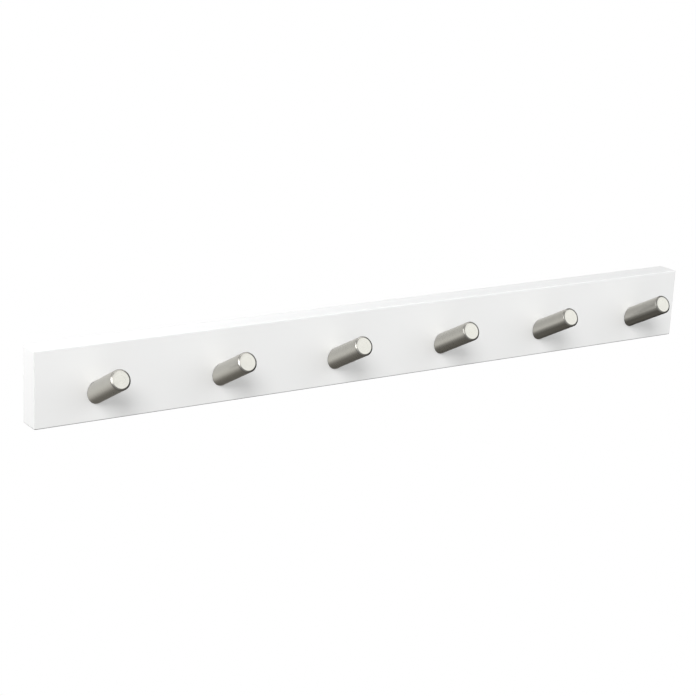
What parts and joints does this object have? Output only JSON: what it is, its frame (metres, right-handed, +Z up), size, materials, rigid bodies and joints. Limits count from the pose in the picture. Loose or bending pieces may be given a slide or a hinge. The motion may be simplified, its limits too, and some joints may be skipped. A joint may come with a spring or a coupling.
{
  "type": "wall coat rail",
  "caption": "Wall coat rail: a flat white board with round satin-steel pegs slanting up from its front, hung on keyhole plates let into its back.",
  "frame": {"origin": "centre of the board's back face, which lies against the wall", "axes": "+X along the board, to the right for someone facing the rail; +Y into the wall; +Z up"},
  "size_m": [0.625, 0.0624, 0.06],
  "materials": {
    "board": "white satin lacquer on fibreboard",
    "pegs": "satin, finely turned",
    "screws": "zinc plated",
    "washers": "zinc plated",
    "pins": "ground steel",
    "hanger_plates": "zinc plated, stamped"
  },
  "bodies": {
    "root": {"board": "board", "peg_1": "pegs", "peg_screw_1": "screws", "peg_washer_1": "washers", "peg_pin_1": "pins", "peg_2": "pegs", "peg_screw_2": "screws", "peg_washer_2": "washers", "peg_pin_2": "pins", "peg_3": "pegs", "peg_screw_3": "screws", "peg_washer_3": "washers", "peg_pin_3": "pins", "peg_4": "pegs", "peg_screw_4": "screws", "peg_washer_4": "washers", "peg_pin_4": "pins", "peg_5": "pegs", "peg_screw_5": "screws", "peg_washer_5": "washers", "peg_pin_5": "pins", "peg_6": "pegs", "peg_screw_6": "screws", "peg_washer_6": "washers", "peg_pin_6": "pins", "hanger_plate_left": "hanger_plates", "hanger_screw_left_top": "screws", "hanger_screw_left_bottom": "screws", "hanger_plate_right": "hanger_plates", "hanger_screw_right_top": "screws", "hanger_screw_right_bottom": "screws"}
  },
  "joints": []
}
